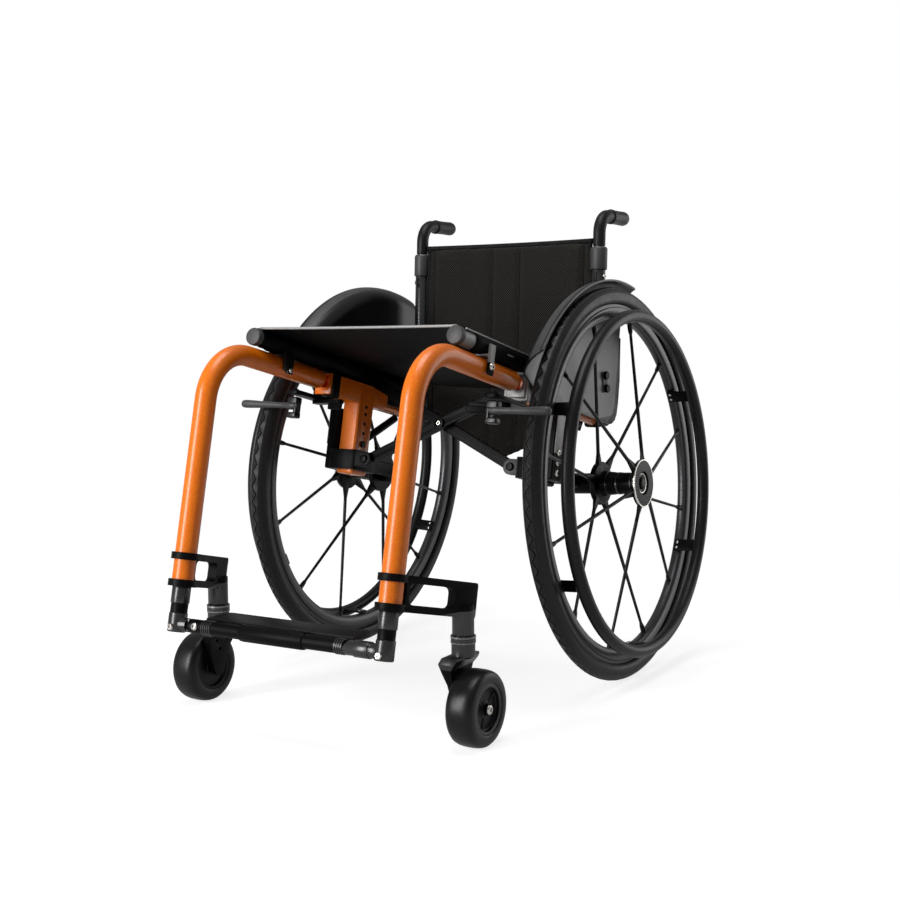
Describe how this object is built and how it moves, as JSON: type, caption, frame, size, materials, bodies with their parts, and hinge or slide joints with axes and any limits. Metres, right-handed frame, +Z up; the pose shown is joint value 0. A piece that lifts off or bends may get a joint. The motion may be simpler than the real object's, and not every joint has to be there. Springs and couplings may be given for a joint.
{
  "type": "lightweight wheelchair",
  "caption": "Folding self-propelled wheelchair with spoked rear wheels, small front casters, cross-braced frame, sling seat and back, push handles and footrest.",
  "frame": {"origin": "on the floor under the middle of the wheelchair's overall box", "axes": "+Z up, the user faces -Y, +X is the user's left"},
  "size_m": [0.5954, 0.8614, 0.7295],
  "materials": {
    "orange_paint": "gloss with metal fleck",
    "black_coat": "matte",
    "dark_coat": "satin",
    "bright_steel": "satin",
    "black_plastic": "matte",
    "grip_rubber": "matte",
    "tyre": "matte",
    "black_fabric": "woven"
  },
  "bodies": {
    "left_frame": {"left_front_tube": "orange_paint", "left_side_frame": "orange_paint", "left_frame_strut": "black_coat", "left_tube_clamp": "black_coat", "left_seat_saddle": "black_coat", "left_caster_bracket": "black_coat", "left_leg_sleeve": "dark_coat", "left_axle_block": "black_coat", "left_brace_pin": "bright_steel", "left_side_guard": "black_plastic", "left_back_cane": "black_coat", "left_cane_collar": "dark_coat", "left_brake_body": "black_coat", "seat_sling": "black_fabric", "back_upholstery": "black_fabric"},
    "right_frame": {"right_front_tube": "orange_paint", "right_side_frame": "orange_paint", "right_frame_strut": "black_coat", "right_tube_clamp": "black_coat", "right_seat_saddle": "black_coat", "right_caster_bracket": "black_coat", "right_leg_sleeve": "dark_coat", "right_axle_block": "black_coat", "right_brace_pin": "bright_steel", "right_side_guard": "black_plastic", "right_back_cane": "black_coat", "right_cane_collar": "dark_coat", "right_brake_body": "black_coat"},
    "footrest": {"footrest_bar": "dark_coat", "footplate": "black_plastic"},
    "front_arm": {"front_brace_arm": "black_coat", "brace_centre_bolt": "bright_steel", "left_seat_rail": "dark_coat"},
    "left_button": {"left_axle_button": "bright_steel"},
    "left_caster": {"left_caster_tyre": "tyre", "left_caster_hub": "dark_coat"},
    "left_fork": {"left_caster_fork": "black_coat"},
    "left_handle": {"left_push_handle": "dark_coat", "left_handle_grip": "grip_rubber"},
    "left_lever": {"left_brake_lever": "dark_coat"},
    "left_shoe": {"left_brake_shoe": "dark_coat"},
    "left_wheel": {"left_tyre": "tyre", "left_rim": "black_coat", "left_handrim": "dark_coat", "left_hub": "black_coat"},
    "rear_arm": {"rear_brace_arm": "black_coat", "right_seat_rail": "dark_coat"},
    "right_button": {"right_axle_button": "bright_steel"},
    "right_caster": {"right_caster_tyre": "tyre", "right_caster_hub": "dark_coat"},
    "right_fork": {"right_caster_fork": "black_coat"},
    "right_handle": {"right_push_handle": "dark_coat", "right_handle_grip": "grip_rubber"},
    "right_lever": {"right_brake_lever": "dark_coat"},
    "right_shoe": {"right_brake_shoe": "dark_coat"},
    "right_wheel": {"right_tyre": "tyre", "right_rim": "black_coat", "right_handrim": "dark_coat", "right_hub": "black_coat"}
  },
  "joints": [
    {"name": "fold", "type": "slide", "parent": "left_frame", "child": "right_frame", "axis": [1, 0, 0], "range_m": [0, 0.1826], "deforming": ["seat_sling", "back_upholstery"]},
    {"name": "front_arm_turn", "type": "hinge", "parent": "right_frame", "child": "front_arm", "pos_m": [-0.128, -0.01877, 0.33324], "axis": [0, -0.9763, 0.2164], "range_deg": [0, 49.6]},
    {"name": "rear_arm_turn", "type": "hinge", "parent": "left_frame", "child": "rear_arm", "pos_m": [0.128, -0.00705, 0.33065], "axis": [0, 0.9763, -0.2164], "range_deg": [0, 49.6]},
    {"name": "footrest_flip", "type": "hinge", "parent": "right_frame", "child": "footrest", "pos_m": [-0.136, -0.41598, 0.14014], "axis": [0, -0.9763, 0.2164], "range_deg": [0, 90]},
    {"name": "left_wheel_spin", "type": "hinge", "parent": "left_frame", "child": "left_wheel", "pos_m": [0.237, 0.13086, 0.29983], "axis": [0.9986, 0, 0.0523], "continuous": true},
    {"name": "left_button_push", "type": "slide", "parent": "left_wheel", "child": "left_button", "axis": [-0.9986, 0, -0.0523], "range_m": [0, 0.0025], "stiffness_N_per_m": 400, "springref_m": -0.002},
    {"name": "left_caster_swivel", "type": "hinge", "parent": "left_frame", "child": "left_fork", "pos_m": [0.207, -0.29014, 0.142], "axis": [0, 0, 1], "continuous": true},
    {"name": "left_caster_spin", "type": "hinge", "parent": "left_fork", "child": "left_caster", "pos_m": [0.23, -0.29714, 0.0505], "axis": [1, 0, 0], "continuous": true},
    {"name": "left_brake_swing", "type": "hinge", "parent": "left_frame", "child": "left_lever", "pos_m": [0.165, -0.09941, 0.42692], "axis": [0, 0.2164, 0.9763], "range_deg": [0, 60]},
    {"name": "left_shoe_press", "type": "hinge", "parent": "left_frame", "child": "left_shoe", "pos_m": [0.173, -0.14821, 0.42391], "axis": [0, 0.2164, 0.9763], "range_deg": [0, 4.01]},
    {"name": "left_handle_raise", "type": "slide", "parent": "left_frame", "child": "left_handle", "axis": [0, 0.0523, 0.9986], "range_m": [0, 0.05]},
    {"name": "right_wheel_spin", "type": "hinge", "parent": "right_frame", "child": "right_wheel", "pos_m": [-0.237, 0.13086, 0.29983], "axis": [0.9986, 0, -0.0523], "continuous": true},
    {"name": "right_button_push", "type": "slide", "parent": "right_wheel", "child": "right_button", "axis": [0.9986, 0, -0.0523], "range_m": [0, 0.0025], "stiffness_N_per_m": 400, "springref_m": -0.002},
    {"name": "right_caster_swivel", "type": "hinge", "parent": "right_frame", "child": "right_fork", "pos_m": [-0.207, -0.29014, 0.142], "axis": [0, 0, 1], "continuous": true},
    {"name": "right_caster_spin", "type": "hinge", "parent": "right_fork", "child": "right_caster", "pos_m": [-0.23, -0.29714, 0.0505], "axis": [1, 0, 0], "continuous": true},
    {"name": "right_brake_swing", "type": "hinge", "parent": "right_frame", "child": "right_lever", "pos_m": [-0.165, -0.09941, 0.42692], "axis": [0, -0.2164, -0.9763], "range_deg": [0, 60]},
    {"name": "right_shoe_press", "type": "hinge", "parent": "right_frame", "child": "right_shoe", "pos_m": [-0.173, -0.14821, 0.42391], "axis": [0, -0.2164, -0.9763], "range_deg": [0, 4.01]},
    {"name": "right_handle_raise", "type": "slide", "parent": "right_frame", "child": "right_handle", "axis": [0, 0.0523, 0.9986], "range_m": [0, 0.05]}
  ],
  "couplings": [
    {"joint": "front_arm_turn", "follows": "fold", "rad_per_m": 4.733},
    {"joint": "rear_arm_turn", "follows": "fold", "rad_per_m": 4.733},
    {"joint": "footrest_flip", "follows": "fold", "rad_per_m": 8.602},
    {"joint": "left_shoe_press", "follows": "left_brake_swing", "ratio": 0.066667},
    {"joint": "right_shoe_press", "follows": "right_brake_swing", "ratio": 0.066667}
  ]
}
